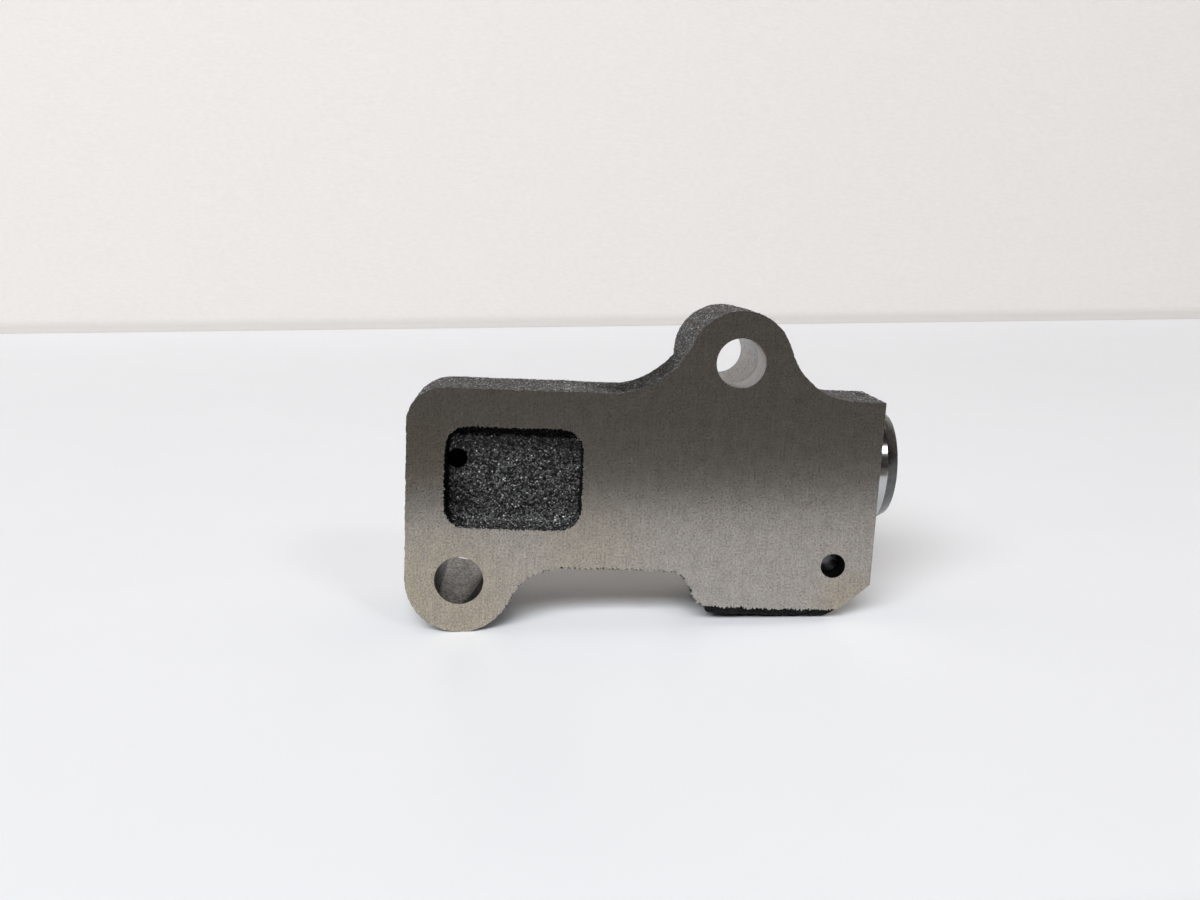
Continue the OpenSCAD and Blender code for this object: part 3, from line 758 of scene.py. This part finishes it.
pawl_coil = finished("pawl_coil", wound("pawl_spring", (0, 0, 1), pawl_wire_r, pawl_turns),
                     spring_steel)
coil_low, coil_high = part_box("pawl_spring")
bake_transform(pawl_coil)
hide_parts("pawl_spring")

# Table and light: a pale table that the lower lug and the foot's outer corner rest on, with a
# pale wall far behind it. A wide window in front on the left and a narrow pane on the right light
# it. A dark screen behind the camera and a dark cloth below it give the metal dark reflections.
heel_x = end_x - bevel_x * (1 + foot_drop / bevel_z)
table_corner = Vector((heel_x, 0, foot_z - foot_drop))
table_lean_deg, table_half = -3.156, 1.5
table_turn = Matrix.Rotation(math.radians(table_lean_deg), 4, "Y")
table_up = table_turn @ Vector((0, 0, 1))
wall_y, wall_h, wall_lean_deg = 0.529, 0.27, -2.4
wall_turn = Matrix.Rotation(math.radians(wall_lean_deg), 4, "Z")
wall_bend, bend_steps = 0.006, 8
screen_r, screen_h, screen_steps = 2.9, 6.0, 24
cloth_near, cloth_over = -0.068, 0.2 * mm
window_y, window_z, window_glow = -2.0, 1.64, 52
daylight = (0.95, 0.976, 1.0)
room_colour, room_glow = (1.0, 0.885, 0.775, 1), 0.31


def make_table_white():
    """Pale laminate, a little glossy."""
    material, shader, at = new_finish("table_white", Roughness=0.42)
    cloud = at.noise(0.03, 3.0)
    cloud.colour((0.864, 0.871, 0.897, 1), (0.892, 0.898, 0.92, 1)).feed(shader, "Base Color")
    return material


def make_wall_white():
    """Pale woven wall covering, with painted shade where it meets the table."""
    material, shader, at = new_finish("wall_white", Roughness=0.8)
    weave = at.stretch(0.3, 0.3, 0.9).noise(1.0, 3.0)
    above = at.axis("Z") * table_up.z + at.axis("X") * table_up.x - table_corner.dot(table_up) / mm
    pale = weave.colour((0.605, 0.571, 0.547, 1), (0.683, 0.649, 0.625, 1))
    # Painted shade: a darker band on the wall just above the table.
    painted_seam_shade = above.rise(-1.5, 3.5) * (1 - above.rise(2.5, 8.0)) * 0.5
    painted_seam_shade.colour(pale, (0.42, 0.405, 0.39, 1)).feed(shader, "Base Color")
    return material


def make_dark_cloth():
    """Dark brown-grey cloth."""
    material, shader, at = new_finish("dark_cloth", Roughness=1.0)
    at.noise(0.05).colour(grey(0.08, 0.1), grey(0.11, 0.1)).feed(shader, "Base Color")
    return material


def sheet_along_x(line, half, place):
    """A sheet that runs along a line of points in Y and Z, as wide as twice half."""
    shape = bmesh.new()
    points = [shape.verts.new((-half, y, z)) for y, z in line]
    edges = [shape.edges.new(points[i:i + 2]) for i in range(len(points) - 1)]
    wide = bmesh.ops.extrude_edge_only(shape, edges=edges)
    bmesh.ops.translate(shape, verts=[v for v in wide["geom"] if isinstance(v, bmesh.types.BMVert)],
                        vec=(2 * half, 0, 0))
    bmesh.ops.recalc_face_normals(shape, faces=shape.faces)
    bmesh.ops.transform(shape, matrix=place, verts=shape.verts)
    return shape


def half_round(start_x, low, high, place):
    """An upright sheet round the front half of a circle, from -X to +X."""
    shape = bmesh.new()
    upright = shape.edges.new([shape.verts.new((start_x, 0, z)) for z in (low, high)])
    bmesh.ops.spin(shape, geom=list(upright.verts) + [upright], axis=(0, 0, 1), angle=math.pi,
                   steps=screen_steps)
    bmesh.ops.recalc_face_normals(shape, faces=shape.faces)
    bmesh.ops.transform(shape, matrix=place, verts=shape.verts)
    return shape


on_table = Matrix.Translation(table_corner) @ table_turn
table = new_object("table", sheet_along_x([(-table_half, 0), (table_half, 0)], table_half, on_table))
table.data.materials.append(make_table_white())
bend = []
for step in range(bend_steps + 1):
    turn = math.pi / 2 * step / bend_steps
    bend.append((wall_bend * (math.sin(turn) - 1), wall_bend * (1 - math.cos(turn))))
wall_place = on_table @ Matrix.Translation((0, wall_y, 0)) @ wall_turn
wall = new_object("wall", sheet_along_x(bend + [(0, wall_h)], table_half, wall_place))
wall.data.materials.append(make_wall_white())
dark_cloth = make_dark_cloth()
screen = new_object("dark_screen", half_round(-screen_r, 0, screen_h, on_table))
screen.data.materials.append(dark_cloth)
screen.visible_camera = False
cloth_line = [(-screen_r, cloth_over), (cloth_near, cloth_over)]
cloth = new_object("dark_cloth", sheet_along_x(cloth_line, screen_r, on_table))
cloth.data.materials.append(dark_cloth)
cloth.visible_camera = False
cloth.visible_diffuse = False
cloth.visible_shadow = False

world = bpy.data.worlds.new("room")
bpy.context.scene.world = world
world.use_nodes = True
room_light = world.node_tree.nodes["Background"]
room_light.inputs["Color"].default_value = room_colour
room_light.inputs["Strength"].default_value = room_glow
for name, x, width, height in (("window", -1.6, 3.6, 0.85), ("side_pane", 1.2, 0.5, 0.5)):
    pane = bpy.data.lights.new(name, "AREA")
    pane.shape = "RECTANGLE"
    pane.size, pane.size_y = width, height
    pane.energy = window_glow * width * height
    pane.color = daylight
    lamp = bpy.data.objects.new(name, pane)
    bpy.context.scene.collection.objects.link(lamp)
    lamp.location = (x, window_y, window_z)
    lamp.rotation_euler = Vector((0, -window_y, -window_z)).to_track_quat("-Z", "Y").to_euler()

# Camera: a wide lens close in front of the mounting face, a little above it and to the left, from
# where the pocket, both lugs, the foot and the plunger's nose are all seen.
camera_place = Vector((-29.01 * mm, -149.93 * mm, 15.88 * mm))
camera_right = Vector((0.9972, -0.0602, 0.0440))
camera_up = Vector((-0.0320, 0.1884, 0.9816))
camera_data = bpy.data.cameras.new("camera")
camera_data.sensor_width = 36.0
camera_data.lens = 33.6
camera_data.clip_start = 0.01
camera = bpy.data.objects.new("camera", camera_data)
bpy.context.scene.collection.objects.link(camera)
camera_turn = Matrix((camera_right, camera_up, camera_right.cross(camera_up))).transposed()
camera.matrix_world = Matrix.Translation(camera_place) @ camera_turn.to_4x4()
bpy.context.scene.camera = camera
bpy.context.scene.view_settings.view_transform = "Standard"
